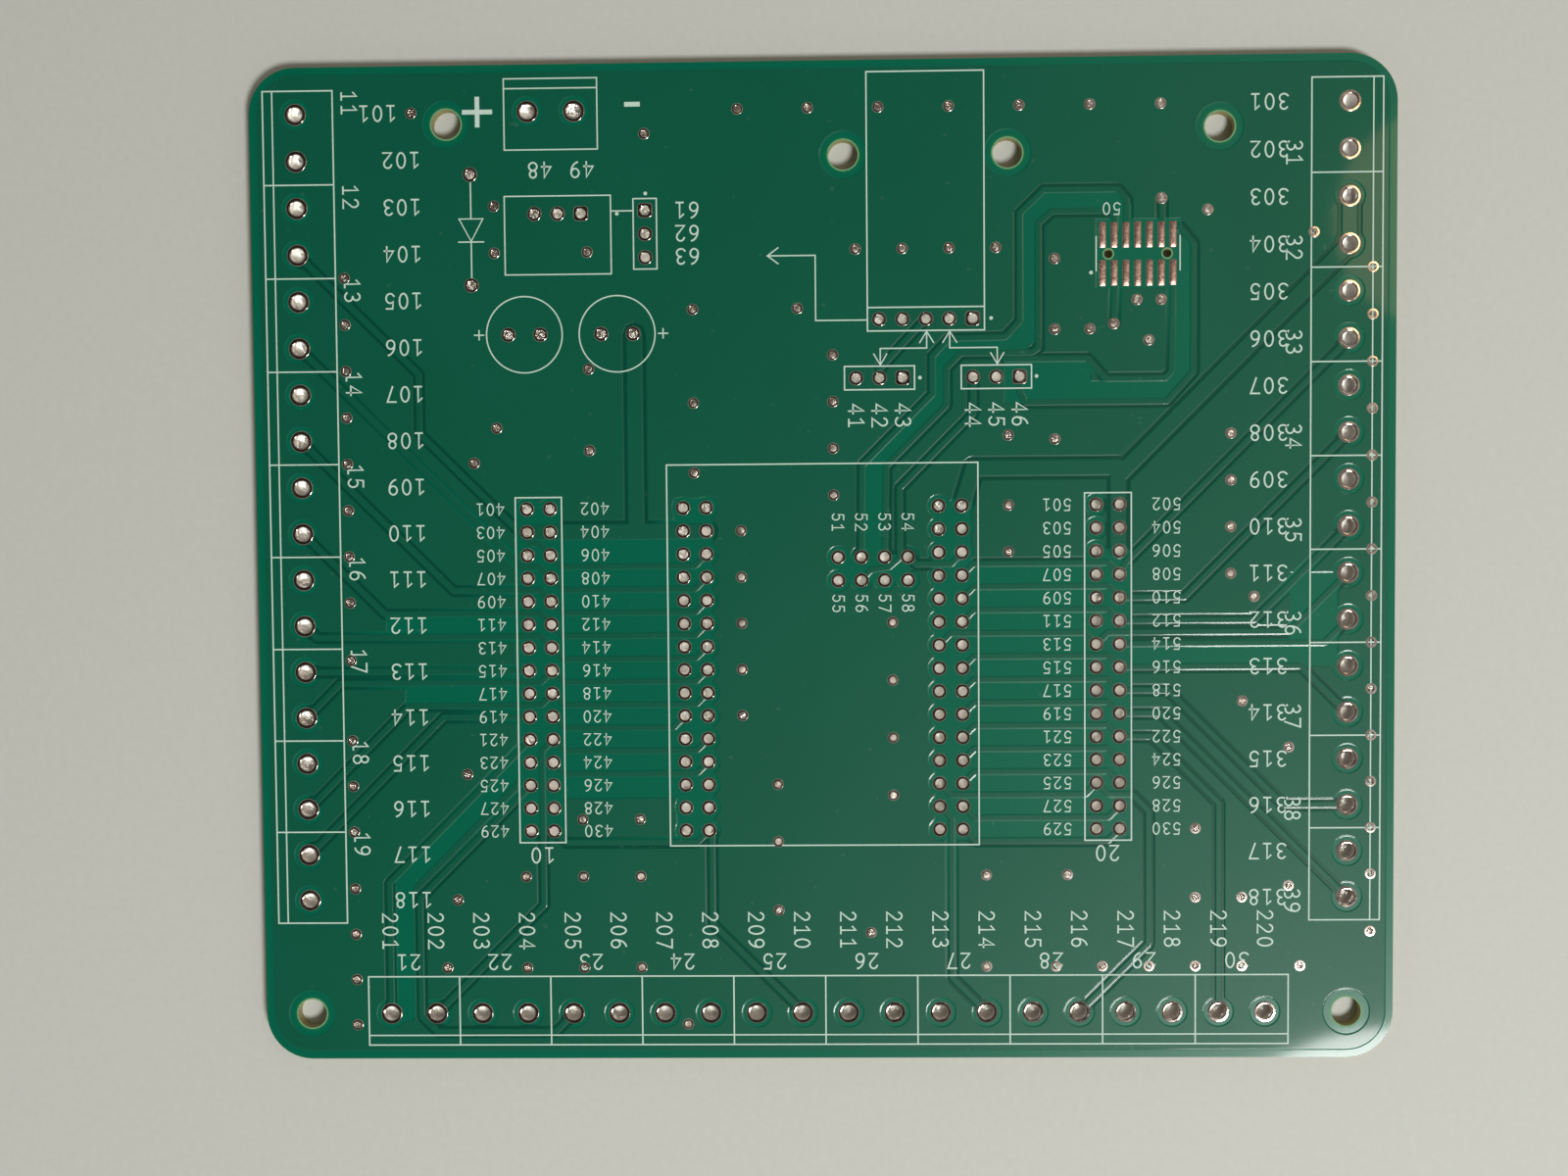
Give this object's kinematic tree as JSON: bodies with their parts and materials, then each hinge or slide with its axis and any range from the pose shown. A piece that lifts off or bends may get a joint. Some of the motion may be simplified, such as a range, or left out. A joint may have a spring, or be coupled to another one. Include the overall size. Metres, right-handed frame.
{
  "type": "expansion board",
  "caption": "Flat green circuit board with rounded corners: rows of plated holes for wire terminals along the edges, pin header strips in the middle and screw holes.",
  "frame": {"origin": "middle of the board's underside", "axes": "+Z out of the component side, +X along the long edge, +Y towards the edge with the supply terminals"},
  "size_m": [0.1244, 0.1092, 0.0016],
  "materials": {
    "solder_mask": "satin green solder mask over glass-epoxy laminate",
    "tinned_copper": "bright hot-air levelled tin over copper",
    "legend_ink": "thin white printed ink"
  },
  "bodies": {
    "root": {"board": "solder_mask", "connector_pads": "tinned_copper", "left_terminal_lands": "tinned_copper", "right_terminal_lands": "tinned_copper", "lower_terminal_lands": "tinned_copper", "supply_terminal_lands": "tinned_copper", "left_terminal_legend": "legend_ink", "right_terminal_legend": "legend_ink", "lower_terminal_legend": "legend_ink", "supply_legend": "legend_ink", "serial_legend": "legend_ink", "module_legend": "legend_ink", "strip_legend": "legend_ink"}
  },
  "joints": []
}
